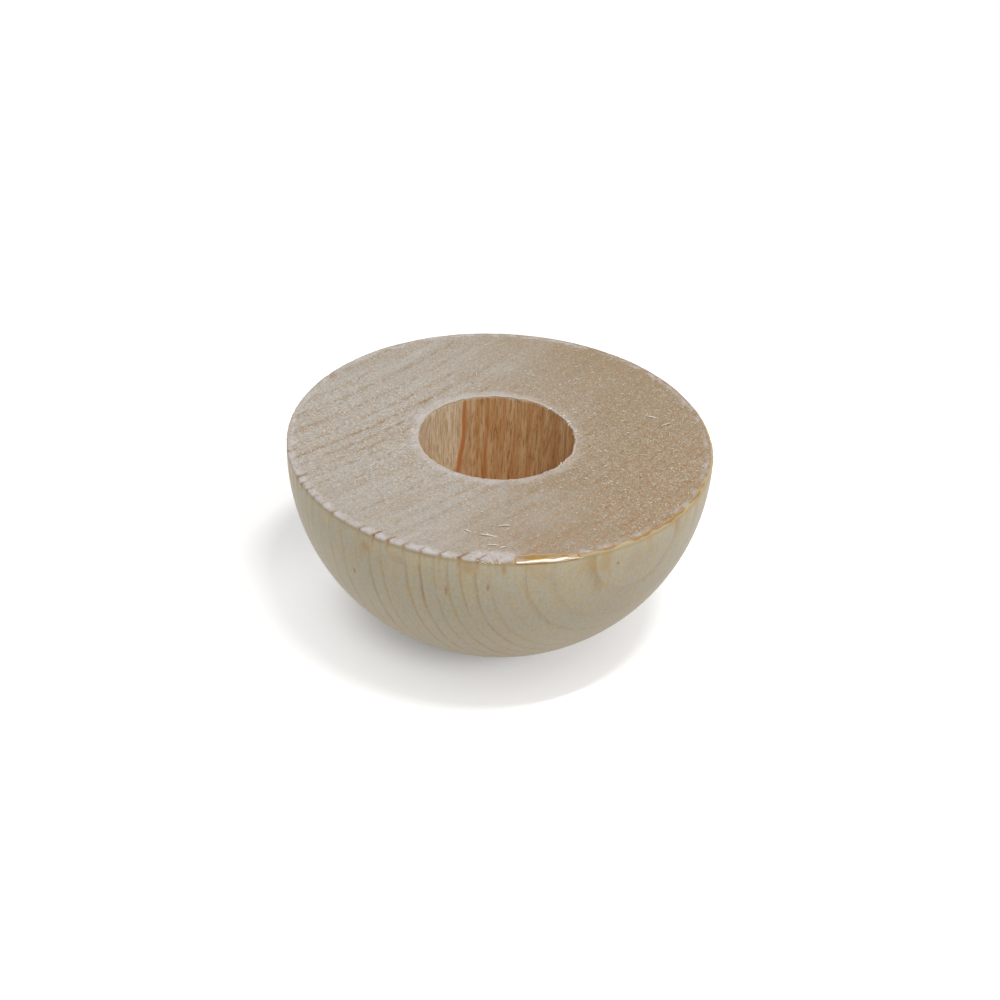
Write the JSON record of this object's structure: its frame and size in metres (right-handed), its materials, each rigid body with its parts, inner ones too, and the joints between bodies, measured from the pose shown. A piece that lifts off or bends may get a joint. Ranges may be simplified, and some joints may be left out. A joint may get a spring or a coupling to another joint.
{
  "type": "wooden handrail finial",
  "caption": "Half-ball wooden end cap for a round handrail, sawn flat where it meets the rail, with a blind dowel bore on its axis.",
  "frame": {"origin": "the middle of the dome's crown, on the bore's axis: the lowest point when the part lies on its dome with the sawn face up", "axes": "+Z along the bore's axis, from the crown out through the sawn face; X and Y are parallel to the sawn face, which is round, so their direction about Z is free"},
  "size_m": [0.042, 0.042, 0.0219],
  "materials": {
    "lacquered_softwood": "clear satin lacquer on the dome, bare sawn end grain on the face, bare drilled wood in the bore"
  },
  "bodies": {
    "root": {"finial_body": "lacquered_softwood"}
  },
  "joints": []
}
